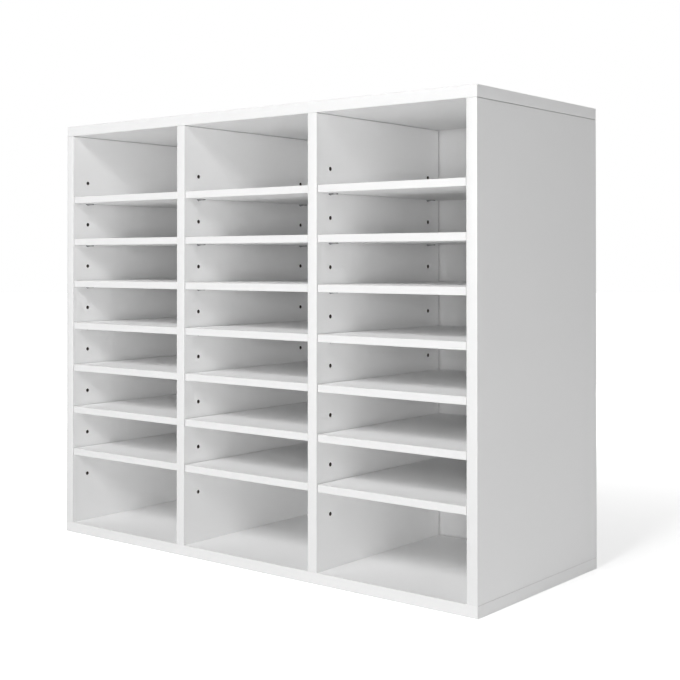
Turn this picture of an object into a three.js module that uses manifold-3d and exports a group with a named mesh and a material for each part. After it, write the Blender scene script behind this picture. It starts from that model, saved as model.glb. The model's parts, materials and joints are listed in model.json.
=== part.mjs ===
// Pigeonhole mail sorter: a white board carcass with three columns. The shelves of each column lie loose
// on spoon pins, which plug into lines of blind holes bored at a fixed pitch in the walls.
// Millimetres, +Z up, front towards -Y, origin on the floor at the middle of the footprint.
import * as THREE from "three";
import { mergeVertices } from "three/addons/utils/BufferGeometryUtils.js";
import Module from "manifold-3d";

// Overall size
const WIDTH = 740;
const DEPTH = 300;
const HEIGHT = 620;

// Boards
const BOARD = 15; // thickness of the carcass boards
const SHELF = 10; // thickness of a shelf
const BACK = 3; // thickness of a back panel
const ARRIS = 0.5; // easing round both faces of a board
const BACK_ARRIS = 0.3; // easing of the thin back panels

// Columns and shelves
const COLUMNS = ["left", "centre", "right"];
const SHELVES_PER_COLUMN = 7;
const SHELF_SIDE_GAP = 1; // between a shelf's end and the wall
const SHELF_SET_BACK = 1; // from the carcass's front edges
const SHELF_REAR_GAP = 1; // between a shelf and the back panel
const SHELF_LIFT = 0.1; // running gap between a shelf and its pins

// Back panels and their grooves
const BACK_RECESS = 16; // open recess behind the back panels
const GROOVE_DEPTH = 5;
const GROOVE_GAP = 0.25; // each side of the panel
const GROOVE_END_GAP = 0.5; // between the panel's edge and the groove's floor

// Line boring and shelf pins
const BORING_PITCH = 32;
const BORING_INSET = 28; // from the carcass's front edges to the front line
const LINES_APART = 7 * BORING_PITCH; // from the front line to the rear one
const HOLE_RADIUS = 2.5;
const HOLE_DEPTH = 6.5;
const PIN_LENGTH = 12; // how far the spoon stands out of the wall
const PIN_WIDTH = 9;
const PIN_BLADE = 1.5; // thickness of the flat spoon
const PIN_NECK = 7; // length of the half-round neck under the spoon

// Assembly screws and dowels in the ends of the uprights
const SCREW_LENGTH = 50;
const SCREW_HEAD_RADIUS = 5;
const SCREW_HEAD_RIM = 1.8;
const SCREW_CONE = 2.5; // height of the countersunk cone under the rim
const SCREW_RADIUS = 3.5; // over the thread
const SCREW_POINT = 4; // length of the pointed end
const SCREW_SINK = 0.4; // of the head below the board's face
const SCREW_SPREAD = 100; // from the middle of the depth to each screw
const SOCKET_RADIUS = 2.3; // across the corners of the hexagon
const SOCKET_DEPTH = 3;
const DOWEL_RADIUS = 4;
const DOWEL_LENGTH = 30;
const DOWEL_IN_PANEL = 10; // the part of it that stands in the top or bottom panel
const DOWEL_CHAMFER = 1;
const FIT_GAP = 0.3; // round a screw or a dowel in its hole

// Facets round a full circle
const ROUND_SIDES = 8;
const HOLE_SIDES = 8;
const SPOON_ARC_STEPS = 4; // round the spoon's end
const NECK_ARC_STEPS = 3; // round the underside of its neck

// Worked-out sizes
const UPRIGHT_HEIGHT = HEIGHT - 2 * BOARD;
const COLUMN_CLEAR = (WIDTH - (COLUMNS.length + 1) * BOARD) / COLUMNS.length;
const COLUMN_STEP = COLUMN_CLEAR + BOARD;
const BACK_FACE = DEPTH / 2 - BACK_RECESS - BACK; // front face of the back panels
const SHELF_FRONT = SHELF_SET_BACK - DEPTH / 2;
const SHELF_REAR = BACK_FACE - SHELF_REAR_GAP;
const SHELF_PITCH = 2 * BORING_PITCH;
const FRONT_LINE = BORING_INSET - DEPTH / 2;
const HOLES_PER_LINE = 2 * SHELVES_PER_COLUMN + 1;
const TONGUE = GROOVE_DEPTH - GROOVE_END_GAP; // how far a back panel reaches into a groove

const wasm = await Module();
wasm.setup();

const melamine = { color: 0xf1f1f0, roughness: 0.45, metalness: 0 };
const platedSteel = { color: 0xb9bbbd, roughness: 0.35, metalness: 1 };
const beech = { color: 0xd8b98a, roughness: 0.7, metalness: 0 };

// A closed geometry as a solid that can be joined and cut.
function solidOf(geometry) {
  const bare = geometry.clone();
  bare.deleteAttribute("normal");
  bare.deleteAttribute("uv");
  const merged = mergeVertices(bare);
  const mesh = new wasm.Mesh({
    numProp: 3,
    vertProperties: merged.attributes.position.array,
    triVerts: new Uint32Array(merged.index.array),
  });
  return new wasm.Manifold(mesh);
}

// A solid as a geometry with flat facets.
function geometryOf(solid) {
  const { vertProperties, triVerts } = solid.getMesh();
  const indexed = new THREE.BufferGeometry();
  indexed.setAttribute("position", new THREE.BufferAttribute(vertProperties, 3));
  indexed.setIndex(new THREE.BufferAttribute(triVerts, 1));
  const faceted = indexed.toNonIndexed();
  faceted.computeVertexNormals();
  return faceted;
}

// A board lying flat and centred on the origin, with the arrises round both its faces eased.
function board(length, width, thickness, ease) {
  const x = length / 2;
  const y = width / 2;
  const outline = new THREE.Shape();
  outline.moveTo(-x, -y);
  outline.lineTo(x, -y);
  outline.lineTo(x, y);
  outline.lineTo(-x, y);
  const extrusion = new THREE.ExtrudeGeometry(outline, {
    depth: thickness - 2 * ease,
    bevelThickness: ease,
    bevelSize: ease,
    bevelOffset: -ease,
    bevelSegments: 1,
  });
  return extrusion.translate(0, 0, ease - thickness / 2);
}

// A board's geometry turned up on edge: its length runs front to back and its width stands up.
function onEdge(geometry) {
  const x = new THREE.Vector3(1, 0, 0);
  const y = new THREE.Vector3(0, 1, 0);
  const z = new THREE.Vector3(0, 0, 1);
  return geometry.applyMatrix4(new THREE.Matrix4().makeBasis(y, z, x));
}

// A profile of [radius, height] points turned about the vertical axis, lowest point first.
function turned(profile) {
  const points = profile.map(([radius, height]) => new THREE.Vector2(radius, height));
  return new THREE.LatheGeometry(points, ROUND_SIDES).rotateX(Math.PI / 2);
}

// The outside of an assembly screw, head up with the head's top at the origin. Its hole is the same
// profile grown by a gap, with the rim carried on upwards as the mouth.
function screwBody(gap, mouth) {
  const cone = SCREW_HEAD_RIM + SCREW_CONE;
  return turned([
    [0, -SCREW_LENGTH - gap],
    [SCREW_RADIUS + gap, SCREW_POINT - SCREW_LENGTH],
    [SCREW_RADIUS + gap, -cone - gap],
    [SCREW_HEAD_RADIUS + gap, -SCREW_HEAD_RIM - gap],
    [SCREW_HEAD_RADIUS + gap, mouth],
    [0, mouth],
  ]);
}

function screw() {
  const socket = new THREE.CylinderGeometry(SOCKET_RADIUS, SOCKET_RADIUS, 2 * SOCKET_DEPTH, 6);
  return geometryOf(solidOf(screwBody(0, 0)).subtract(solidOf(socket.rotateX(Math.PI / 2))));
}

// A dowel with chamfered ends, standing on end round the origin.
function dowel() {
  const half = DOWEL_LENGTH / 2;
  return turned([
    [0, -half],
    [DOWEL_RADIUS - DOWEL_CHAMFER, -half],
    [DOWEL_RADIUS, DOWEL_CHAMFER - half],
    [DOWEL_RADIUS, half - DOWEL_CHAMFER],
    [DOWEL_RADIUS - DOWEL_CHAMFER, half],
    [0, half],
  ]);
}

// The holes for one joint between a panel and the end of an upright: two screws and a dowel between them.
// The origin is on the line where the two boards meet, with the panel above.
function jointHoles() {
  const radius = DOWEL_RADIUS + FIT_GAP;
  const dowelHole = new THREE.CylinderGeometry(radius, radius, DOWEL_LENGTH + 2 * FIT_GAP, ROUND_SIDES);
  dowelHole.rotateX(Math.PI / 2).translate(0, 0, DOWEL_IN_PANEL - DOWEL_LENGTH / 2);
  const holes = [dowelHole];
  for (const side of [-1, 1]) {
    holes.push(screwBody(FIT_GAP, BOARD).translate(0, side * SCREW_SPREAD, BOARD - SCREW_SINK));
  }
  return holes.map(solidOf);
}

// The top panel. The bottom panel is the same board turned over.
function capPanel() {
  let panel = solidOf(board(WIDTH, DEPTH, BOARD, ARRIS));
  const grooveLength = WIDTH - 2 * (BOARD - GROOVE_DEPTH);
  const groove = new THREE.BoxGeometry(grooveLength, BACK + 2 * GROOVE_GAP, 2 * GROOVE_DEPTH);
  panel = panel.subtract(solidOf(groove.translate(0, BACK_FACE + BACK / 2, -BOARD / 2)));
  for (const x of uprightCentres()) {
    for (const hole of jointHoles()) {
      panel = panel.subtract(hole.translate([x, 0, -BOARD / 2]));
    }
  }
  return geometryOf(panel);
}

// The middle plane of each upright, from the left side to the right side.
function uprightCentres() {
  const first = (BOARD - WIDTH) / 2;
  return Array.from({ length: COLUMNS.length + 1 }, (_, n) => first + n * COLUMN_STEP);
}

// A spoon pin's visible end: a flat tongue with a round tip on a half-round neck. It stands out along +X
// from a wall at the origin, with its flat top at height 0, and starts a little way inside the wall.
function spoonPin() {
  const half = PIN_WIDTH / 2;
  const tongue = new THREE.Shape();
  tongue.moveTo(-PIN_BLADE, -half);
  tongue.lineTo(PIN_LENGTH - half, -half);
  tongue.absarc(PIN_LENGTH - half, 0, half, -Math.PI / 2, Math.PI / 2);
  tongue.lineTo(-PIN_BLADE, half);
  const blade = new THREE.ExtrudeGeometry(tongue, {
    depth: PIN_BLADE,
    curveSegments: SPOON_ARC_STEPS,
    bevelEnabled: false,
  });
  const chord = Math.asin(PIN_BLADE / 2 / HOLE_RADIUS); // the neck's flat lies half-way up the blade
  const halfRound = new THREE.Shape();
  halfRound.absarc(0, 0, HOLE_RADIUS, Math.PI + chord, 2 * Math.PI - chord);
  const neck = new THREE.ExtrudeGeometry(halfRound, {
    depth: PIN_NECK + PIN_BLADE,
    curveSegments: NECK_ARC_STEPS,
    bevelEnabled: false,
  });
  const along = new THREE.Vector3(1, 0, 0);
  const across = new THREE.Vector3(0, 1, 0);
  const up = new THREE.Vector3(0, 0, 1);
  neck.applyMatrix4(new THREE.Matrix4().makeBasis(across, up, along));
  const spoon = solidOf(blade.translate(0, 0, -PIN_BLADE));
  return spoon.add(solidOf(neck.translate(-PIN_BLADE, 0, 0)));
}

// The underside of a shelf, counted from 1 at the bottom: the shelves are spaced evenly about mid-height.
function shelfUnderside(level) {
  return HEIGHT / 2 + (level - (SHELVES_PER_COLUMN + 1) / 2) * SHELF_PITCH;
}

// A side panel or divider, centred on the origin. Each bored face is -1 (towards -X) or 1 (towards +X):
// it has the back panel's groove and two lines of holes, of which every other one holds a pin.
function upright(boredFaces) {
  let panel = solidOf(onEdge(board(DEPTH, UPRIGHT_HEIGHT, BOARD, ARRIS)));
  const hole = new THREE.CylinderGeometry(HOLE_RADIUS, HOLE_RADIUS, 2 * HOLE_DEPTH, HOLE_SIDES);
  const holeSolid = solidOf(hole.rotateZ(Math.PI / 2));
  const pinSolid = spoonPin();
  const grooveWidth = BACK + 2 * GROOVE_GAP;
  const groove = new THREE.BoxGeometry(2 * GROOVE_DEPTH, grooveWidth, 2 * UPRIGHT_HEIGHT);
  const grooveSolid = solidOf(groove);
  for (const face of boredFaces) {
    const wall = (face * BOARD) / 2;
    panel = panel.subtract(grooveSolid.translate([wall, BACK_FACE + BACK / 2, 0]));
    const outward = pinSolid.rotate([0, 0, face > 0 ? 0 : 180]);
    for (const line of [FRONT_LINE, FRONT_LINE + LINES_APART]) {
      for (let n = 0; n < HOLES_PER_LINE; n += 1) {
        const height = shelfUnderside(1) + (n - 1) * BORING_PITCH - HEIGHT / 2;
        const holdsPin = n % 2 === 1;
        panel = holdsPin
          ? panel.add(outward.translate([wall, line, height - SHELF_LIFT]))
          : panel.subtract(holeSolid.translate([wall, line, height]));
      }
    }
  }
  for (const hole of jointHoles()) {
    const atTop = hole.translate([0, 0, UPRIGHT_HEIGHT / 2]);
    panel = panel.subtract(atTop).subtract(atTop.rotate([180, 0, 0]));
  }
  return geometryOf(panel);
}

const sorter = new THREE.Group();

// Adds one named piece at a place, with a material of its own.
function addPiece(name, geometry, finish, x, y, z) {
  const mesh = new THREE.Mesh(geometry, new THREE.MeshStandardMaterial(finish));
  mesh.name = name;
  mesh.position.set(x, y, z);
  sorter.add(mesh);
  return mesh;
}

// Top and bottom
const cap = capPanel();
addPiece("top_panel", cap, melamine, 0, 0, HEIGHT - BOARD / 2);
addPiece("bottom_panel", cap, melamine, 0, 0, BOARD / 2).rotation.y = Math.PI;

// Uprights, with the screws and the dowel in each end
const leftSide = upright([1]);
const divider = upright([-1, 1]);
const rightSide = upright([-1]);
const uprights = [
  ["left_side", leftSide],
  ["left_divider", divider],
  ["right_divider", divider],
  ["right_side", rightSide],
];
const screwShape = screw();
const dowelShape = dowel();
const dowelCentre = BOARD + DOWEL_LENGTH / 2 - DOWEL_IN_PANEL;
uprights.forEach(([name, geometry], n) => {
  const x = uprightCentres()[n];
  addPiece(name, geometry, melamine, x, 0, HEIGHT / 2);
  for (const [end, side] of [["front", -1], ["rear", 1]]) {
    const y = side * SCREW_SPREAD;
    addPiece(`screw_top_${name}_${end}`, screwShape, platedSteel, x, y, HEIGHT - SCREW_SINK);
    const lower = addPiece(`screw_bottom_${name}_${end}`, screwShape, platedSteel, x, y, SCREW_SINK);
    lower.rotation.x = Math.PI;
  }
  addPiece(`dowel_top_${name}`, dowelShape, beech, x, 0, HEIGHT - dowelCentre);
  addPiece(`dowel_bottom_${name}`, dowelShape, beech, x, 0, dowelCentre);
});

// Back panels and shelves of each column
const backWidth = COLUMN_CLEAR + 2 * TONGUE;
const backHeight = UPRIGHT_HEIGHT + 2 * TONGUE;
const backPanel = board(backWidth, backHeight, BACK, BACK_ARRIS).rotateX(Math.PI / 2);
const shelfWidth = COLUMN_CLEAR - 2 * SHELF_SIDE_GAP;
const shelf = board(shelfWidth, SHELF_REAR - SHELF_FRONT, SHELF, ARRIS);
COLUMNS.forEach((column, n) => {
  const x = (n - (COLUMNS.length - 1) / 2) * COLUMN_STEP;
  addPiece(`back_panel_${column}`, backPanel, melamine, x, BACK_FACE + BACK / 2, HEIGHT / 2);
  for (let level = 1; level <= SHELVES_PER_COLUMN; level += 1) {
    const z = shelfUnderside(level) + SHELF / 2;
    addPiece(`shelf_${column}_${level}`, shelf, melamine, x, (SHELF_FRONT + SHELF_REAR) / 2, z);
  }
});

export default sorter;
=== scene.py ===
"""Models a white pigeonhole mail sorter over its packed frame.

The file is laid out as an add-on and run as a script. Every piece is modelled in metres where the frame has
its solid, with its place in its mesh, and rides on that solid's body.
"""

import json
import math

import bmesh
import bpy
from bpy.props import FloatProperty, FloatVectorProperty, PointerProperty
from mathutils import Matrix, Vector

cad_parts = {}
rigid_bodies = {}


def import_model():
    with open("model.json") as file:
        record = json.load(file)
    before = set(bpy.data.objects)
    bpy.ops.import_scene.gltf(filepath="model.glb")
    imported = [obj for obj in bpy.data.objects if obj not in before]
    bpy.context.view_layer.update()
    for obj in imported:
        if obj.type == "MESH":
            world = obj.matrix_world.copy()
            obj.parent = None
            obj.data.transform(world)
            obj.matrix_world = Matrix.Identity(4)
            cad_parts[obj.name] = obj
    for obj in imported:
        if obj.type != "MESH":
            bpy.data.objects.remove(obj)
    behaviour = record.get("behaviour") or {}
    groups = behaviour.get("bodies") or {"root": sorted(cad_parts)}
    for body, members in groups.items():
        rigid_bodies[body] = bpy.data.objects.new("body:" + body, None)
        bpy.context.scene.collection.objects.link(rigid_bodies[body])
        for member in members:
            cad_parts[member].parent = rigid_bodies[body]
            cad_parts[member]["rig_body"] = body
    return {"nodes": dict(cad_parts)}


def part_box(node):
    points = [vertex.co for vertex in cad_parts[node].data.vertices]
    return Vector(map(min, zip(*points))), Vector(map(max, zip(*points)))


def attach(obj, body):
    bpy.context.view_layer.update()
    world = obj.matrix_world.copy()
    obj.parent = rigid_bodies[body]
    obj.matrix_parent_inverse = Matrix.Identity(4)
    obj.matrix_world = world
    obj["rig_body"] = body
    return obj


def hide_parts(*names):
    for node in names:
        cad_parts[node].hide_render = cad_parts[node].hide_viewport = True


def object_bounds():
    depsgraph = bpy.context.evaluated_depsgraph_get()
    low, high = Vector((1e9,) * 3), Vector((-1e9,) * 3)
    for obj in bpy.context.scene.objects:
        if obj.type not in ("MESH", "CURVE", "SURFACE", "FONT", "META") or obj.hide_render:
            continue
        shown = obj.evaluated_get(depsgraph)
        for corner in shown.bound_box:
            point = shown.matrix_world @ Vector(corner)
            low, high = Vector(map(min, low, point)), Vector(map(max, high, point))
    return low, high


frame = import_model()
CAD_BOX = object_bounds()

bl_info = {
    "name": "Pigeonhole mail sorter",
    "version": (1, 0, 0),
    "blender": (4, 5, 0),
    "location": "View3D > Sidebar > Mail sorter",
    "description": "Models the boards, shelves, pins and fixings of a pigeonhole mail sorter",
    "category": "Add Mesh",
}

# The frame's own names and sizes
COLUMNS = ("left", "centre", "right")
CAPS = ("top", "bottom")
UPRIGHTS = {  # each upright, with the faces that are bored: -1 towards -X, 1 towards +X
    "left_side": (1,),
    "left_divider": (-1, 1),
    "right_divider": (-1, 1),
    "right_side": (-1,),
}
LEVELS = range(1, 1 + sum(node.startswith("shelf_left_") for node in frame["nodes"]))
TOP_LOW, TOP_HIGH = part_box("top_panel")
BOARD = TOP_HIGH.z - TOP_LOW.z
BACK_LOW, BACK_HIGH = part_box("back_panel_centre")
SHELF_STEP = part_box("shelf_left_2")[0].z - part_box("shelf_left_1")[0].z
BORING_PITCH = SHELF_STEP / 2

# Facets, and the slots of a board's finishes
ARRIS_STEPS = 3
ROUND_SIDES = 24
SMOOTH_ANGLE = math.radians(20)
FACE, BAND, CORE = range(3)
TINY = 1e-6


def length(name, description, default):
    return FloatProperty(
        name=name, description=description, default=default, min=0, precision=5, unit="LENGTH"
    )


def colour(name, description, default):
    return FloatVectorProperty(
        name=name, description=description, default=default, min=0, max=1, subtype="COLOR"
    )


def place(name, description, default):
    return FloatVectorProperty(
        name=name, description=description, default=default, subtype="TRANSLATION", unit="LENGTH"
    )


def power(name, description, default):
    return FloatProperty(name=name, description=description, default=default, min=0, unit="POWER")


class SorterBoards(bpy.types.PropertyGroup):
    """Edges, grooves and borings of the boards."""

    arris: length("Arris", "Radius of the eased edges", 0.0005)
    back_arris: length("Back arris", "Radius of the back panels' eased edges", 0.0003)
    band: length("Edge band", "Thickness of the band glued along an edge", 0.0009)
    score: length("Glue line", "Width of the line between a band and the board", 0.00012)
    groove_depth: length("Groove depth", "Depth of the back panels' grooves", 0.005)
    joint_gap: length("Joint gap", "Room between an upright's upper end and the top", 0.0005)
    groove_gap: length("Groove gap", "Room behind a back panel in its groove", 0.00025)
    groove_lip: length("Groove lip", "Room in front of a back panel in its groove", 0.0022)
    boring_inset: length("Boring inset", "From the front edges to the front line of borings", 0.028)
    boring_lines: length("Boring lines", "From the front line of borings to the rear one", 7 * BORING_PITCH)
    boring_radius: length("Boring radius", "Radius of a shelf pin's boring", 0.0025)
    boring_depth: length("Boring depth", "Depth of a shelf pin's boring", 0.0065)
    boring_mouth: length("Boring mouth", "How far a boring's rim is broken back", 0.0002)


class SorterPins(bpy.types.PropertyGroup):
    """The spoon pins that carry the shelves."""

    length: length("Spoon length", "How far a spoon stands out of the wall", 0.012)
    width: length("Spoon width", "Width of a spoon at its round end", 0.009)
    blade: length("Blade", "Thickness of a spoon", 0.0015)
    neck: length("Neck", "Length of the half-round neck under a spoon", 0.007)
    neck_radius: length("Neck radius", "Radius of the half-round neck", 0.0023)
    peg: length("Peg", "Length of the peg in the boring", 0.006)
    peg_radius: length("Peg radius", "Radius of the peg in the boring", 0.0024)
    lift: length("Lift", "Running gap between a spoon and its shelf", 0.0001)
    ease: length("Ease", "Radius of a pin's edges", 0.00015)


class SorterFixings(bpy.types.PropertyGroup):
    """The screws and dowels that hold the top and bottom to the uprights."""

    screw_length: length("Screw length", "From the head's top to the point", 0.05)
    head_radius: length("Head radius", "Radius of the countersunk head", 0.005)
    head_rim: length("Head rim", "Height of the head's straight rim", 0.0018)
    head_cone: length("Head cone", "Height of the cone under the rim", 0.0025)
    thread_radius: length("Thread radius", "Radius over the thread", 0.0035)
    core_radius: length("Core radius", "Radius of the shank between the threads", 0.0026)
    thread_pitch: length("Thread pitch", "Distance from turn to turn", 0.003)
    thread_start: length("Thread start", "From the head's top to the first turn", 0.016)
    point: length("Point", "Length of the screw's point", 0.004)
    socket_radius: length("Socket radius", "Radius of the six-sided socket over its corners", 0.0023)
    socket_depth: length("Socket depth", "Depth of the six-sided socket", 0.003)
    dowel_radius: length("Dowel radius", "Radius of a dowel", 0.004)
    dowel_chamfer: length("Dowel chamfer", "Chamfer round a dowel's ends", 0.001)
    flute: length("Flute", "Depth of the flutes along a dowel", 0.00035)
    gap: length("Fit gap", "Room round a screw or a dowel in its hole", 0.0003)


class SorterFinishes(bpy.types.PropertyGroup):
    """Colours of the finishes."""

    melamine: colour("Melamine", "The boards' satin facing", (0.95, 0.95, 0.95))
    # The band's grey is painted shade: the real band is as white as the melamine, and the grey keeps the lit
    # edges from clipping to white.
    band: colour("Edge band", "The bands along the edges", (0.7, 0.7, 0.7))
    core: colour("Board core", "Bare board in borings and grooves", (0.075, 0.06, 0.05))
    back: colour("Back panel", "The back panels' facing", (0.9, 0.9, 0.9))
    # The nickel's grey is darker than bright nickel. The extra darkness is painted shade for the shade that the
    # pins sit in under the shelves.
    nickel_painted_shade: colour("Nickel", "The plating of the shelf pins", (0.36, 0.36, 0.365))
    zinc: colour("Zinc", "The plating of the screws", (0.68, 0.69, 0.7))
    beech: colour("Beech", "The dowels", (0.62, 0.44, 0.26))


class SorterStage(bpy.types.PropertyGroup):
    """Camera, floor and light."""

    camera_place: place("Camera place", "Where the camera stands", (1.127, -1.3552, 0.4154))
    camera_turn: FloatVectorProperty(
        name="Camera turn",
        description="How the camera is turned",
        default=tuple(math.radians(angle) for angle in (90.636, 0, 38.73)),
        subtype="EULER",
        unit="ROTATION",
    )
    lens: FloatProperty(name="Lens", description="Focal length in millimetres", default=64.584)
    shift_x: FloatProperty(name="Shift X", description="Sideways shift of the picture", default=0.0057)
    shift_y: FloatProperty(name="Shift Y", description="Upward shift of the picture", default=-0.1376)
    floor: colour("Floor", "The studio floor", (0.9, 0.9, 0.9))
    floor_white: FloatProperty(
        name="Floor white", description="Share of white that the floor shows beside the sorter", default=0.5
    )
    fill: FloatProperty(name="Fill", description="Strength of the light from all around", default=0.03)
    key_place: place("Key place", "Where the softbox at the front right stands", (2.1, -3.0, 0.4))
    key_size: length("Key size", "Width of the front right softbox", 0.8)
    key_power: power("Key power", "Power of the front right softbox", 35)
    high_place: place("High place", "Where the softbox high in front hangs", (0.4, -2.7, 2.2))
    high_size: length("High size", "Width of the high softbox", 0.9)
    high_power: power("High power", "Power of the high softbox", 60)
    front_place: place("Front place", "Where the softbox at the front left hangs", (-0.6, -2.9, 1.1))
    front_size: length("Front size", "Width of the front left softbox", 1.2)
    front_power: power("Front power", "Power of the front left softbox", 20)
    side_place: place("Side place", "Where the softbox beside the sorter hangs", (1.9, 0, 0.6))
    side_size: length("Side size", "Width of the side softbox", 1.0)
    side_power: power("Side power", "Power of the side softbox", 3)
    back_place: place("Back place", "Where the softbox behind the sorter hangs", (-0.9, 2.2, 0.7))
    back_size: length("Back size", "Width of the back softbox", 1.2)
    back_power: power("Back power", "Power of the back softbox", 22)


def start_fresh():
    """Deselects every object, so that the next operator acts on its own piece alone."""
    bpy.ops.object.select_all(action="DESELECT")


def open_piece(name):
    """Names the object just added, puts its place into its mesh and opens it in edit mode, all selected."""
    piece = bpy.context.object
    piece.name = name
    piece.data.name = name
    bpy.ops.object.transform_apply(location=True, rotation=True, scale=True)
    bpy.ops.object.mode_set(mode="EDIT")
    bpy.ops.mesh.select_all(action="SELECT")
    return piece


def close_piece():
    bpy.ops.object.mode_set(mode="OBJECT")


def make_active(piece):
    start_fresh()
    piece.select_set(True)
    bpy.context.view_layer.objects.active = piece


def pick(piece, kind, test):
    """Selects the vertices, edges or faces of a piece in edit mode whose middle and normal pass a test."""
    bpy.ops.mesh.select_mode(type=kind)
    bpy.ops.mesh.select_all(action="DESELECT")
    shape = bmesh.from_edit_mesh(piece.data)
    parts = {"VERT": shape.verts, "EDGE": shape.edges, "FACE": shape.faces}[kind]
    for part in parts:
        corners = [part.co] if kind == "VERT" else [corner.co for corner in part.verts]
        if test(sum(corners, Vector()) / len(corners)):
            part.select_set(True)
    shape.select_flush_mode()
    bmesh.update_edit_mesh(piece.data)


def extrude(offset):
    bpy.ops.mesh.extrude_region_move(TRANSFORM_OT_translate={"value": offset})


def apply_modifier(piece, kind, **values):
    """Adds a modifier with these values to a piece and applies it."""
    modifier = piece.modifiers.new(kind.lower(), kind)
    for name, value in values.items():
        setattr(modifier, name, value)
    make_active(piece)
    bpy.ops.object.modifier_apply(modifier=modifier.name)


def copy_of(piece, name, matrix):
    """A copy of a piece with its own mesh, moved by a matrix."""
    twin = piece.copy()
    twin.data = piece.data.copy()
    twin.name = name
    twin.data.name = name
    twin.data.transform(matrix)
    bpy.context.scene.collection.objects.link(twin)
    return twin


def joined(pieces):
    """Several pieces as one object, the first of them."""
    make_active(pieces[0])
    for piece in pieces[1:]:
        piece.select_set(True)
    if len(pieces) > 1:
        bpy.ops.object.join()
    return pieces[0]


def combine(piece, others, operation):
    """Joins other pieces to a piece, or cuts them out of it, and removes them."""
    other = joined(others)
    apply_modifier(piece, "BOOLEAN", operation=operation, solver="EXACT", object=other)
    bpy.data.meshes.remove(other.data)


def turned(name, profile, sides):
    """A piece turned about the Z axis, from steps of radius and height with the lowest first."""
    radius, height = profile[0]
    start_fresh()
    bpy.ops.mesh.primitive_circle_add(
        vertices=sides, radius=radius, fill_type="NGON", location=(0, 0, height)
    )
    piece = open_piece(name)
    for next_radius, next_height in profile[1:]:
        extrude((0, 0, next_height - height))
        grow = next_radius / radius
        bpy.ops.transform.resize(value=(grow, grow, 1), center_override=(0, 0, next_height))
        radius, height = next_radius, next_height
    bpy.ops.mesh.select_all(action="SELECT")
    bpy.ops.mesh.normals_make_consistent(inside=False)
    close_piece()
    return piece


def add_box(name, low, high):
    """A box between two corners, open in edit mode."""
    start_fresh()
    bpy.ops.mesh.primitive_cube_add(size=1, location=(low + high) / 2, scale=high - low)
    return open_piece(name)


def score_line(piece, axis, place, width):
    """Scores a hairline round a piece in edit mode, in the plane across an axis."""
    across = Vector((0, 0, 0))
    across[axis] = 1
    bpy.ops.mesh.select_all(action="SELECT")
    bpy.ops.mesh.bisect(plane_co=across * place, plane_no=across)
    bpy.ops.mesh.bevel(offset=width / 2, segments=2, affect="EDGES")
    pick(piece, "VERT", lambda middle: abs(middle[axis] - place) < TINY)
    bpy.ops.transform.shrink_fatten(value=-width / 2)


def add_board(name, low, high, arris, banded_axes):
    """A board between two corners with eased arrises, and bands glued along both ends of the banded axes."""
    sizes = bpy.context.scene.sorter_boards
    piece = add_box(name, low, high)
    bpy.ops.mesh.bevel(offset=arris, segments=ARRIS_STEPS, affect="EDGES")
    for axis in banded_axes:
        for place in (low[axis] + sizes.band, high[axis] - sizes.band):
            score_line(piece, axis, place, sizes.score)
    close_piece()
    for material in (melamine(), edge_band(), board_core()):
        piece.data.materials.append(material)
    for face in piece.data.polygons:
        if any(
            not low[axis] + sizes.band < face.center[axis] < high[axis] - sizes.band for axis in banded_axes
        ):
            face.material_index = BAND
    return piece


def smooth(piece):
    make_active(piece)
    bpy.ops.object.shade_smooth_by_angle(angle=SMOOTH_ANGLE)


def stand_for(piece, node):
    """Puts a finished piece in the place of a frame's node, on that node's body."""
    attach(piece, frame["nodes"][node]["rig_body"])
    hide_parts(node)


def upright_faces(node):
    """The left and right faces of an upright, without the pins that stand out of it in the frame."""
    low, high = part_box(node)
    bored = UPRIGHTS[node]
    if bored == (1,):
        return low.x, low.x + BOARD
    if bored == (-1,):
        return high.x - BOARD, high.x
    middle = (low.x + high.x) / 2
    return middle - BOARD / 2, middle + BOARD / 2


def fixing_place(node):
    """Where a screw or a dowel of the frame is: the top of a screw's head, turned over in the bottom panel."""
    low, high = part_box(node)
    middle = (low + high) / 2
    if "dowel" in node:
        return Matrix.Translation(middle)
    if "top" in node:
        return Matrix.Translation((middle.x, middle.y, high.z))
    return Matrix.Translation((middle.x, middle.y, low.z)) @ Matrix.Rotation(math.pi, 4, "X")


def fixing_nodes(kind, cap, upright):
    start = f"{kind}_{cap}_{upright}"
    return sorted(node for node in frame["nodes"] if node.startswith(start))


def screw_profile(fixings, gap, mouth):
    """A screw's outline from the point up, or its hole's, which has a gap all round and a mouth above."""
    cone = fixings.head_rim + fixings.head_cone
    return [
        (fixings.core_radius / 4 + gap, -fixings.screw_length - gap),
        (fixings.core_radius + gap, fixings.point - fixings.screw_length),
        (fixings.core_radius + gap, -fixings.thread_start),
        (fixings.thread_radius + gap, -fixings.thread_start + fixings.point / 4),
        (fixings.thread_radius + gap, -cone - gap),
        (fixings.head_radius + gap, -fixings.head_rim - gap),
        (fixings.head_radius + gap, mouth),
    ]


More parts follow.
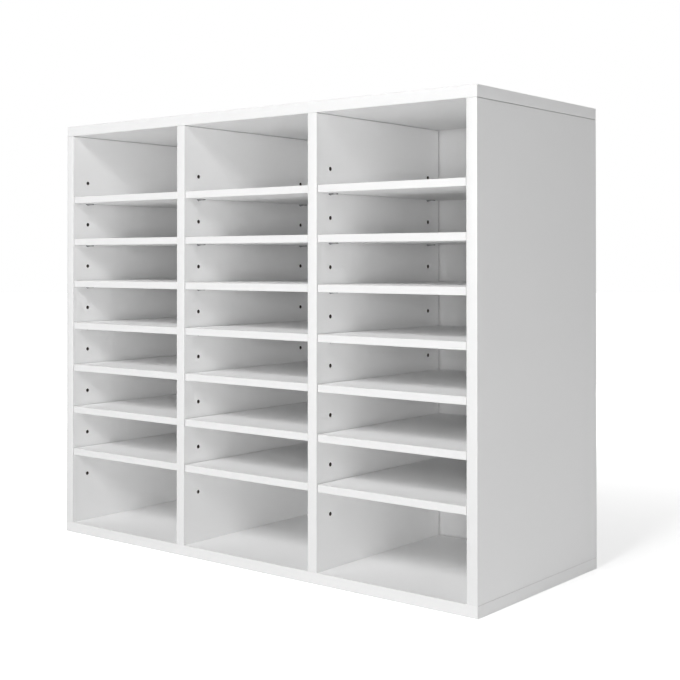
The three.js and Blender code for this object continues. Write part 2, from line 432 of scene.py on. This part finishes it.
def fixing_holes(cap, upright):
    """Cutters for the holes of the screws and the dowel between a cap and an upright."""
    fixings = bpy.context.scene.sorter_fixings
    thread_gap = fixings.gap + fixings.thread_radius - fixings.core_radius
    cone = fixings.head_rim + fixings.head_cone
    screw_hole = turned(
        "screw_hole",
        [
            (fixings.core_radius, -fixings.screw_length - fixings.gap),
            (fixings.core_radius + thread_gap, fixings.point - fixings.screw_length),
            (fixings.core_radius + thread_gap, -cone - fixings.gap),
            (fixings.head_radius + fixings.gap, -fixings.head_rim - fixings.gap),
            (fixings.head_radius + fixings.gap, BOARD),
        ],
        ROUND_SIDES,
    )
    (dowel,) = fixing_nodes("dowel", cap, upright)
    low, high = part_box(dowel)
    half = (high.z - low.z) / 2 + fixings.gap
    dowel_radius = fixings.dowel_radius + fixings.gap
    dowel_hole = turned("dowel_hole", [(dowel_radius, -half), (dowel_radius, half)], ROUND_SIDES)
    cutters = [copy_of(dowel_hole, "cutter", fixing_place(dowel))]
    for screw in fixing_nodes("screw", cap, upright):
        cutters.append(copy_of(screw_hole, "cutter", fixing_place(screw)))
    bpy.data.meshes.remove(screw_hole.data)
    bpy.data.meshes.remove(dowel_hole.data)
    return cutters


def groove_cutter(low, high):
    """A cutter for a back panel's groove between two corners, widened by the room beside the panel."""
    sizes = bpy.context.scene.sorter_boards
    in_front = Vector((0, sizes.groove_lip, 0))
    behind = Vector((0, sizes.groove_gap, 0))
    piece = add_box("groove", low - in_front, high + behind)
    close_piece()
    return piece


def cut_core(piece, cutters):
    """Cuts a board, leaving bare core on the cut."""
    for cutter in cutters:
        while len(cutter.data.materials) < len(piece.data.materials):
            cutter.data.materials.append(piece.data.materials[CORE])
        for face in cutter.data.polygons:
            face.material_index = CORE
    combine(piece, cutters, "DIFFERENCE")


def new_finish(name, **values):
    """A material with these values on its shader's sockets, with its nodes and the shader."""
    material = bpy.data.materials.new(name)
    material.use_nodes = True
    shader = material.node_tree.nodes["Principled BSDF"]
    for socket, value in values.items():
        shader.inputs[socket.replace("_", " ")].default_value = value
    return material, material.node_tree, shader


def noise(tree, scale, detail, stretch=(1, 1, 1)):
    """A noise over the piece's own coordinates, in features to the metre."""
    place = tree.nodes.new("ShaderNodeTexCoord")
    mapping = tree.nodes.new("ShaderNodeMapping")
    mapping.inputs["Scale"].default_value = stretch
    texture = tree.nodes.new("ShaderNodeTexNoise")
    texture.inputs["Scale"].default_value = scale
    texture.inputs["Detail"].default_value = detail
    tree.links.new(place.outputs["Object"], mapping.inputs["Vector"])
    tree.links.new(mapping.outputs["Vector"], texture.inputs["Vector"])
    return texture.outputs["Fac"]


def flakes(tree, scale):
    """Irregular flakes over the piece's own coordinates, each with a level of its own."""
    place = tree.nodes.new("ShaderNodeTexCoord")
    texture = tree.nodes.new("ShaderNodeTexVoronoi")
    texture.inputs["Scale"].default_value = scale
    tree.links.new(place.outputs["Object"], texture.inputs["Vector"])
    return texture.outputs["Color"]


def shade_between(tree, factor, low, high, target):
    """Leads a factor to a socket as a colour between two, over the middle of the factor's range."""
    ramp = tree.nodes.new("ShaderNodeValToRGB")
    ramp.color_ramp.elements[0].position = 0.3
    ramp.color_ramp.elements[1].position = 0.7
    ramp.color_ramp.elements[0].color = (*low, 1)
    ramp.color_ramp.elements[1].color = (*high, 1)
    tree.links.new(factor, ramp.inputs["Fac"])
    tree.links.new(ramp.outputs["Color"], target)


def vary(tree, factor, low, high, target):
    """Leads a factor to a socket as a value between two."""
    spread = tree.nodes.new("ShaderNodeMapRange")
    spread.inputs["To Min"].default_value = low
    spread.inputs["To Max"].default_value = high
    tree.links.new(factor, spread.inputs["Value"])
    tree.links.new(spread.outputs["Result"], target)


def emboss(tree, height, distance, target):
    """Leads a pattern to a normal socket as relief of this height."""
    bump = tree.nodes.new("ShaderNodeBump")
    bump.inputs["Distance"].default_value = distance
    tree.links.new(height, bump.inputs["Height"])
    tree.links.new(bump.outputs["Normal"], target)


def tinted(base, share):
    return tuple(channel * share for channel in base)


def made_once(build):
    """Makes a finish the first time that it is asked for."""
    made = []

    def finish():
        if not made:
            made.append(build(bpy.context.scene.sorter_finishes))
        return made[0]

    return finish


@made_once
def melamine(finishes):
    """Satin melamine paper: a fine pearl grain, and a slow drift of tone along the board."""
    material, tree, shader = new_finish("satin_melamine")
    grain = noise(tree, 1300, 3)
    drift = noise(tree, 7, 2)
    shade_between(tree, drift, tinted(finishes.melamine, 0.985), finishes.melamine, shader.inputs["Base Color"])
    vary(tree, grain, 0.38, 0.54, shader.inputs["Roughness"])
    emboss(tree, grain, 0.00003, shader.inputs["Normal"])
    return material


@made_once
def edge_band(finishes):
    """Smooth plastic edge band: fine scraper marks, a little glossier than the faces. Its grey, darker than the
    faces' white, is painted shade; the real band is as white as the faces.
    """
    material, tree, shader = new_finish("edge_band")
    marks = noise(tree, 420, 4)
    shade_between(tree, marks, tinted(finishes.band, 0.985), finishes.band, shader.inputs["Base Color"])
    vary(tree, marks, 0.32, 0.44, shader.inputs["Roughness"])
    emboss(tree, marks, 0.00002, shader.inputs["Normal"])
    return material


@made_once
def board_core(finishes):
    """Bare particle board, burnished by the drill and the saw."""
    material, tree, shader = new_finish("board_core", Roughness=0.85)
    chips = flakes(tree, 900)
    shade_between(tree, chips, tinted(finishes.core, 0.6), finishes.core, shader.inputs["Base Color"])
    emboss(tree, chips, 0.00015, shader.inputs["Normal"])
    return material


@made_once
def back_facing(finishes):
    """White paper on thin board: flatter than the melamine, with the fibres just showing."""
    material, tree, shader = new_finish("back_facing", Roughness=0.6)
    fibres = noise(tree, 700, 5)
    shade_between(tree, fibres, tinted(finishes.back, 0.985), finishes.back, shader.inputs["Base Color"])
    emboss(tree, fibres, 0.00003, shader.inputs["Normal"])
    return material


@made_once
def nickel_plate(finishes):
    """Nickel over barrelled steel: blurred gloss with small dents. Its grey is darker than bright nickel; the
    extra darkness is painted shade for the shade under the shelves.
    """
    material, tree, shader = new_finish("nickel_plate", Metallic=1.0)
    dents = noise(tree, 900, 4)
    shade_between(tree, dents, tinted(finishes.nickel_painted_shade, 0.8), finishes.nickel_painted_shade, shader.inputs["Base Color"])
    vary(tree, dents, 0.26, 0.44, shader.inputs["Roughness"])
    emboss(tree, dents, 0.00004, shader.inputs["Normal"])
    return material


@made_once
def zinc_plate(finishes):
    """Bright zinc with a faint cloudiness."""
    material, tree, shader = new_finish("zinc_plate", Metallic=1.0)
    clouds = noise(tree, 600, 4)
    shade_between(tree, clouds, tinted(finishes.zinc, 0.88), finishes.zinc, shader.inputs["Base Color"])
    vary(tree, clouds, 0.22, 0.38, shader.inputs["Roughness"])
    return material


@made_once
def beech(finishes):
    """Beech with its grain along the dowel."""
    material, tree, shader = new_finish("beech", Roughness=0.65)
    grain = noise(tree, 900, 4, stretch=(1, 1, 0.06))
    shade_between(tree, grain, tinted(finishes.beech, 0.72), finishes.beech, shader.inputs["Base Color"])
    emboss(tree, grain, 0.00008, shader.inputs["Normal"])
    return material


class SORTER_OT_caps(bpy.types.Operator):
    """Models the top and bottom panels, with their screw holes and the back panels' groove"""

    bl_idname = "sorter.caps"
    bl_label = "Top and bottom"

    def execute(self, context):
        sizes = context.scene.sorter_boards
        for cap in CAPS:
            node = f"{cap}_panel"
            low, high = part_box(node)
            piece = add_board(f"{node}_board", low, high, sizes.arris, (0, 1))
            # The caps' end bands keep the faces' white, without the bands' painted shade.
            for face in piece.data.polygons:
                if abs(face.normal.x) > math.cos(SMOOTH_ANGLE):
                    face.material_index = FACE
            inner = low.z if cap == "top" else high.z
            reach = BOARD - sizes.groove_depth
            groove_low = Vector((low.x + reach, BACK_LOW.y, inner - sizes.groove_depth))
            groove_high = Vector((high.x - reach, BACK_HIGH.y, inner + sizes.groove_depth))
            cutters = [groove_cutter(groove_low, groove_high)]
            for upright in UPRIGHTS:
                cutters += fixing_holes(cap, upright)
            cut_core(piece, cutters)
            smooth(piece)
            stand_for(piece, node)
        return {"FINISHED"}


class SORTER_OT_uprights(bpy.types.Operator):
    """Models the sides and dividers, with their lines of borings and the back panels' grooves"""

    bl_idname = "sorter.uprights"
    bl_label = "Sides and dividers"

    def execute(self, context):
        boring = self.boring(context.scene.sorter_boards)
        for node, bored in UPRIGHTS.items():
            self.model(context.scene.sorter_boards, node, bored, boring)
        bpy.data.meshes.remove(boring.data)
        return {"FINISHED"}

    def boring(self, sizes):
        """A cutter for one boring, with the drill's point below and a broken rim at height 0."""
        rim = sizes.boring_radius + sizes.boring_mouth
        return turned(
            "boring",
            [
                (sizes.boring_radius / 4, -sizes.boring_depth - sizes.boring_radius / 4),
                (sizes.boring_radius, -sizes.boring_depth),
                (sizes.boring_radius, -sizes.boring_mouth),
                (rim, 0),
                (rim, sizes.boring_depth),
            ],
            ROUND_SIDES,
        )

    def cut_short(self, sizes, piece, low, high):
        """Takes an upright's upper end back a little between the bands, so that the joint shows as a line."""
        make_active(piece)
        bpy.ops.object.mode_set(mode="EDIT")
        front, rear = low.y + sizes.band + TINY, high.y - sizes.band - TINY
        pick(piece, "VERT", lambda spot: front < spot.y < rear and spot.z > high.z - sizes.band)
        bpy.ops.transform.translate(value=(0, 0, -sizes.joint_gap))
        close_piece()

    def model(self, sizes, node, bored, boring):
        low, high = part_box(node)
        low.x, high.x = upright_faces(node)
        piece = add_board(f"{node}_board", low, high, sizes.arris, (1,))
        self.cut_short(sizes, piece, low, high)
        for face in piece.data.polygons:
            if abs(face.normal.z) > math.cos(SMOOTH_ANGLE):
                face.material_index = CORE
        cutters = []
        front_line = low.y + sizes.boring_inset
        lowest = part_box("shelf_left_1")[0].z - BORING_PITCH
        for side in bored:
            wall = high.x if side > 0 else low.x
            groove_low = Vector((wall - sizes.groove_depth, BACK_LOW.y, low.z - BOARD))
            groove_high = Vector((wall + sizes.groove_depth, BACK_HIGH.y, high.z + BOARD))
            cutters.append(groove_cutter(groove_low, groove_high))
            turn = Matrix.Rotation(side * math.pi / 2, 4, "Y")
            for line in (front_line, front_line + sizes.boring_lines):
                for step in range(2 * len(LEVELS) + 1):
                    place = Matrix.Translation((wall, line, lowest + step * BORING_PITCH))
                    cutters.append(copy_of(boring, "cutter", place @ turn))
        for cap in CAPS:
            cutters += fixing_holes(cap, node)
        cut_core(piece, cutters)
        smooth(piece)
        stand_for(piece, node)


class SORTER_OT_backs(bpy.types.Operator):
    """Models the thin back panels that stand in the grooves"""

    bl_idname = "sorter.backs"
    bl_label = "Back panels"

    def execute(self, context):
        sizes = context.scene.sorter_boards
        for column in COLUMNS:
            node = f"back_panel_{column}"
            low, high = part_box(node)
            piece = add_board(f"{node}_board", low, high, sizes.back_arris, ())
            for face in piece.data.polygons:
                if abs(face.normal.y) < math.cos(SMOOTH_ANGLE):
                    face.material_index = CORE
            piece.data.materials[FACE] = back_facing()
            stand_for(piece, node)
        return {"FINISHED"}


class SORTER_OT_shelves(bpy.types.Operator):
    """Models a shelf, edged all round, and lays a copy in every place"""

    bl_idname = "sorter.shelves"
    bl_label = "Shelves"

    def execute(self, context):
        sizes = context.scene.sorter_boards
        first_low, first_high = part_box("shelf_left_1")
        pattern = add_board("shelf_pattern", first_low, first_high, sizes.arris, (0, 1))
        for column in COLUMNS:
            for level in LEVELS:
                node = f"shelf_{column}_{level}"
                place = Matrix.Translation(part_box(node)[0] - first_low)
                stand_for(copy_of(pattern, f"{node}_board", place), node)
        bpy.data.meshes.remove(pattern.data)
        return {"FINISHED"}


class SORTER_OT_pins(bpy.types.Operator):
    """Models a spoon pin and plugs a copy into the walls under both ends of every shelf"""

    bl_idname = "sorter.pins"
    bl_label = "Shelf pins"

    def execute(self, context):
        pins = context.scene.sorter_pins
        sizes = context.scene.sorter_boards
        pattern = self.model(pins)
        front_line = TOP_LOW.y + sizes.boring_inset
        lines = {"front": front_line, "rear": front_line + sizes.boring_lines}
        uprights = list(UPRIGHTS)
        for index, column in enumerate(COLUMNS):
            left_wall = upright_faces(uprights[index])[1]
            right_wall = upright_faces(uprights[index + 1])[0]
            for level in LEVELS:
                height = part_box(f"shelf_{column}_{level}")[0].z - pins.lift
                for side, wall, turn in (("left", left_wall, 0), ("right", right_wall, math.pi)):
                    for line, depth in lines.items():
                        place = Matrix.Translation((wall, depth, height)) @ Matrix.Rotation(turn, 4, "Z")
                        pin = copy_of(pattern, f"pin_{column}_{level}_{side}_{line}", place)
                        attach(pin, "carcass")
        bpy.data.meshes.remove(pattern.data)
        return {"FINISHED"}

    def model(self, pins):
        """A pin along +X from a wall at the origin, with the flat top of its spoon at height 0."""
        spoon = self.spoon(pins)
        neck = self.neck(pins)
        for piece in (spoon, neck):
            apply_modifier(
                piece, "BEVEL", width=pins.ease, segments=2, limit_method="ANGLE", angle_limit=math.radians(40)
            )
        combine(spoon, [neck], "UNION")
        combine(spoon, [self.peg(pins)], "UNION")
        spoon.data.materials.append(nickel_plate())
        smooth(spoon)
        return spoon

    def spoon(self, pins):
        """The flat spoon: half a disc drawn back to the wall, and narrower there."""
        half = pins.width / 2
        start_fresh()
        bpy.ops.mesh.primitive_cylinder_add(
            vertices=ROUND_SIDES,
            radius=half,
            depth=pins.blade,
            location=(pins.length - half, 0, -pins.blade / 2),
        )
        piece = open_piece("pin_pattern")
        middle_place = (pins.length - half, 0, 0)
        bpy.ops.mesh.bisect(plane_co=middle_place, plane_no=(1, 0, 0), use_fill=True, clear_inner=True)
        pick(piece, "FACE", lambda middle: abs(middle.x - middle_place[0]) < TINY)
        extrude((half - pins.length, 0, 0))
        bpy.ops.transform.resize(value=(1, 0.78, 1), center_override=(0, 0, 0))
        close_piece()
        return piece

    def neck(self, pins):
        """The half-round neck under the spoon, fading towards its end."""
        start_fresh()
        bpy.ops.mesh.primitive_cylinder_add(
            vertices=ROUND_SIDES,
            radius=pins.neck_radius,
            depth=pins.neck,
            location=(pins.neck / 2, 0, 0),
            rotation=(0, math.pi / 2, 0),
        )
        piece = open_piece("pin_neck")
        seam = (0, 0, -pins.blade / 2)
        bpy.ops.mesh.bisect(plane_co=seam, plane_no=(0, 0, 1), use_fill=True, clear_outer=True)
        pick(piece, "FACE", lambda middle: abs(middle.x - pins.neck) < TINY)
        bpy.ops.transform.resize(value=(1, 0.7, 0.55), center_override=(pins.neck, 0, seam[2]))
        close_piece()
        return piece

    def peg(self, pins):
        """The round peg that plugs into the boring, with a chamfered end."""
        chamfer = pins.peg_radius / 4
        piece = turned(
            "pin_peg",
            [
                (pins.peg_radius - chamfer, -pins.peg),
                (pins.peg_radius, chamfer - pins.peg),
                (pins.peg_radius, chamfer),
            ],
            ROUND_SIDES,
        )
        piece.data.transform(Matrix.Rotation(math.pi / 2, 4, "Y"))
        return piece


class SORTER_OT_screws(bpy.types.Operator):
    """Models a countersunk assembly screw and drives a copy into every screw hole"""

    bl_idname = "sorter.screws"
    bl_label = "Screws"

    def execute(self, context):
        fixings = context.scene.sorter_fixings
        pattern = self.model(fixings)
        for cap in CAPS:
            for upright in UPRIGHTS:
                for node in fixing_nodes("screw", cap, upright):
                    screw = copy_of(pattern, f"{node}_threaded", fixing_place(node))
                    stand_for(screw, node)
        bpy.data.meshes.remove(pattern.data)
        return {"FINISHED"}

    def model(self, fixings):
        body = turned("screw_pattern", screw_profile(fixings, 0, 0), ROUND_SIDES)
        socket = turned(
            "socket",
            [
                (fixings.socket_radius / 2, -fixings.socket_depth - fixings.socket_radius / 4),
                (fixings.socket_radius, -fixings.socket_depth),
                (fixings.socket_radius, fixings.socket_depth),
            ],
            6,
        )
        combine(body, [socket], "DIFFERENCE")
        screw = joined([body, self.thread(fixings)])
        screw.data.materials.append(zinc_plate())
        smooth(screw)
        return screw

    def thread(self, fixings):
        """The thread: a three-cornered ridge wound round the shank."""
        rise = fixings.thread_radius - fixings.core_radius
        start_fresh()
        bpy.ops.mesh.primitive_circle_add(
            vertices=3,
            radius=rise,
            rotation=(math.pi / 2, math.pi / 2, 0),
            location=(fixings.thread_radius - rise, 0, fixings.point - fixings.screw_length),
        )
        piece = open_piece("screw_thread")
        close_piece()
        run = fixings.screw_length - fixings.thread_start - fixings.point
        turns = int(run / fixings.thread_pitch)
        apply_modifier(
            piece,
            "SCREW",
            screw_offset=fixings.thread_pitch,
            iterations=turns,
            steps=ROUND_SIDES // 2,
            render_steps=ROUND_SIDES // 2,
            use_normal_calculate=True,
        )
        bpy.ops.object.mode_set(mode="EDIT")
        bpy.ops.mesh.select_all(action="SELECT")
        bpy.ops.mesh.fill_holes(sides=3)
        bpy.ops.mesh.select_all(action="SELECT")
        bpy.ops.mesh.normals_make_consistent(inside=False)
        close_piece()
        return piece


class SORTER_OT_dowels(bpy.types.Operator):
    """Models a fluted dowel and sets a copy into every dowel hole"""

    bl_idname = "sorter.dowels"
    bl_label = "Dowels"

    def execute(self, context):
        fixings = context.scene.sorter_fixings
        low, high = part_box("dowel_top_left_side")
        pattern = self.model(fixings, (high.z - low.z) / 2)
        for cap in CAPS:
            for upright in UPRIGHTS:
                for node in fixing_nodes("dowel", cap, upright):
                    dowel = copy_of(pattern, f"{node}_fluted", fixing_place(node))
                    stand_for(dowel, node)
        bpy.data.meshes.remove(pattern.data)
        return {"FINISHED"}

    def model(self, fixings, half):
        chamfer = fixings.dowel_chamfer
        piece = turned(
            "dowel_pattern",
            [
                (fixings.dowel_radius - chamfer, -half),
                (fixings.dowel_radius, chamfer - half),
                (fixings.dowel_radius, half - chamfer),
                (fixings.dowel_radius - chamfer, half),
            ],
            ROUND_SIDES,
        )
        make_active(piece)
        bpy.ops.object.mode_set(mode="EDIT")
        flute_turn = 4 * math.pi / ROUND_SIDES

        def on_flute(middle):
            on_side = Vector((middle.x, middle.y)).length > fixings.dowel_radius - chamfer / 4
            return on_side and math.atan2(middle.y, middle.x) % flute_turn < flute_turn / 2

        pick(piece, "FACE", on_flute)
        bpy.ops.mesh.inset(thickness=fixings.flute / 2, depth=-fixings.flute, use_individual=True)
        close_piece()
        piece.data.materials.append(beech())
        smooth(piece)
        return piece


class SORTER_OT_stage(bpy.types.Operator):
    """Sets the floor, the light and the camera"""

    bl_idname = "sorter.stage"
    bl_label = "Stage"

    def execute(self, context):
        stage = context.scene.sorter_stage
        self.floor(stage)
        self.world(context.scene, stage)
        self.lamps(stage)
        self.camera(context.scene, stage)
        context.scene.view_settings.view_transform = "Standard"
        return {"FINISHED"}

    def floor(self, stage):
        """A wide floor, white to the eye, that keeps a faint shadow and bounces plain light."""
        start_fresh()
        bpy.ops.mesh.primitive_circle_add(
            vertices=96, radius=14, fill_type="NGON", location=(0, 0, CAD_BOX[0].z - 0.0002)
        )
        floor = open_piece("studio_floor")
        close_piece()
        material, tree, shader = new_finish("studio_floor", Roughness=0.9)
        shader.inputs["Base Color"].default_value = (*stage.floor, 1)
        place = tree.nodes.new("ShaderNodeTexCoord")
        distance = tree.nodes.new("ShaderNodeVectorMath")
        distance.operation = "LENGTH"
        tree.links.new(place.outputs["Object"], distance.inputs[0])
        white = tree.nodes.new("ShaderNodeMapRange")
        white.inputs["From Min"].default_value = 0.4
        white.inputs["From Max"].default_value = 1.6
        white.inputs["To Min"].default_value = stage.floor_white
        tree.links.new(distance.outputs["Value"], white.inputs["Value"])
        share = tree.nodes.new("ShaderNodeMath")
        share.operation = "MULTIPLY"
        tree.links.new(self.seen_directly(tree), share.inputs[0])
        tree.links.new(white.outputs["Result"], share.inputs[1])
        glow = tree.nodes.new("ShaderNodeEmission")
        tree.links.new(share.outputs["Value"], glow.inputs["Strength"])
        both = tree.nodes.new("ShaderNodeAddShader")
        tree.links.new(shader.outputs["BSDF"], both.inputs[0])
        tree.links.new(glow.outputs["Emission"], both.inputs[1])
        tree.links.new(both.outputs["Shader"], tree.nodes["Material Output"].inputs["Surface"])
        floor.data.materials.append(material)

    def seen_directly(self, tree):
        """1 for what the camera sees, itself or in a mirror or through glass, and 0 for light that bounces."""
        path = tree.nodes.new("ShaderNodeLightPath")
        total = path.outputs["Is Camera Ray"]
        for ray in ("Is Glossy Ray", "Is Transmission Ray"):
            either = tree.nodes.new("ShaderNodeMath")
            either.operation = "MAXIMUM"
            tree.links.new(total, either.inputs[0])
            tree.links.new(path.outputs[ray], either.inputs[1])
            total = either.outputs["Value"]
        return total

    def world(self, scene, stage):
        """Soft light from all around, in front of a white background."""
        world = bpy.data.worlds.new("studio")
        world.use_nodes = True
        tree = world.node_tree
        fill = tree.nodes["Background"]
        fill.inputs["Color"].default_value = (1, 1, 1, 1)
        fill.inputs["Strength"].default_value = stage.fill
        white = tree.nodes.new("ShaderNodeBackground")
        white.inputs["Color"].default_value = (1, 1, 1, 1)
        mix = tree.nodes.new("ShaderNodeMixShader")
        tree.links.new(self.seen_directly(tree), mix.inputs["Fac"])
        tree.links.new(fill.outputs["Background"], mix.inputs[1])
        tree.links.new(white.outputs["Background"], mix.inputs[2])
        tree.links.new(mix.outputs["Shader"], tree.nodes["World Output"].inputs["Surface"])
        scene.world = world

    def lamps(self, stage):
        """Square softboxes, turned to the middle of the sorter."""
        middle = (CAD_BOX[0] + CAD_BOX[1]) / 2
        for name in ("key", "high", "front", "side", "back"):
            hang = Vector(getattr(stage, f"{name}_place"))
            start_fresh()
            bpy.ops.object.light_add(
                type="AREA", location=hang, rotation=(middle - hang).to_track_quat("-Z", "Y").to_euler()
            )
            lamp = bpy.context.object
            lamp.name = f"{name}_softbox"
            lamp.data.size = getattr(stage, f"{name}_size")
            lamp.data.energy = getattr(stage, f"{name}_power")

    def camera(self, scene, stage):
        start_fresh()
        bpy.ops.object.camera_add(location=stage.camera_place, rotation=stage.camera_turn)
        camera = bpy.context.object
        camera.data.lens = stage.lens
        camera.data.shift_x = stage.shift_x
        camera.data.shift_y = stage.shift_y
        scene.camera = camera


STEPS = (
    SORTER_OT_caps,
    SORTER_OT_uprights,
    SORTER_OT_backs,
    SORTER_OT_shelves,
    SORTER_OT_pins,
    SORTER_OT_screws,
    SORTER_OT_dowels,
    SORTER_OT_stage,
)
GROUPS = {
    "sorter_boards": SorterBoards,
    "sorter_pins": SorterPins,
    "sorter_fixings": SorterFixings,
    "sorter_finishes": SorterFinishes,
    "sorter_stage": SorterStage,
}


class SORTER_PT_sidebar(bpy.types.Panel):
    """Lists the steps of the model and their sizes and colours"""

    bl_idname = "SORTER_PT_sidebar"
    bl_label = "Mail sorter"
    bl_space_type = "VIEW_3D"
    bl_region_type = "UI"
    bl_category = "Mail sorter"

    def draw(self, context):
        for step in STEPS:
            self.layout.operator(step.bl_idname)
        for name, group in GROUPS.items():
            box = self.layout.box()
            box.label(text=group.__doc__)
            for value in group.__annotations__:
                box.prop(getattr(context.scene, name), value)


def register():
    for item in (*GROUPS.values(), *STEPS, SORTER_PT_sidebar):
        bpy.utils.register_class(item)
    for name, group in GROUPS.items():
        setattr(bpy.types.Scene, name, PointerProperty(type=group))


def unregister():
    for name in GROUPS:
        delattr(bpy.types.Scene, name)
    for item in reversed((*GROUPS.values(), *STEPS, SORTER_PT_sidebar)):
        bpy.utils.unregister_class(item)


def main():
    register()
    bpy.ops.sorter.caps()
    bpy.ops.sorter.uprights()
    bpy.ops.sorter.backs()
    bpy.ops.sorter.shelves()
    bpy.ops.sorter.pins()
    bpy.ops.sorter.screws()
    bpy.ops.sorter.dowels()
    bpy.ops.sorter.stage()


if __name__ == "__main__":
    main()
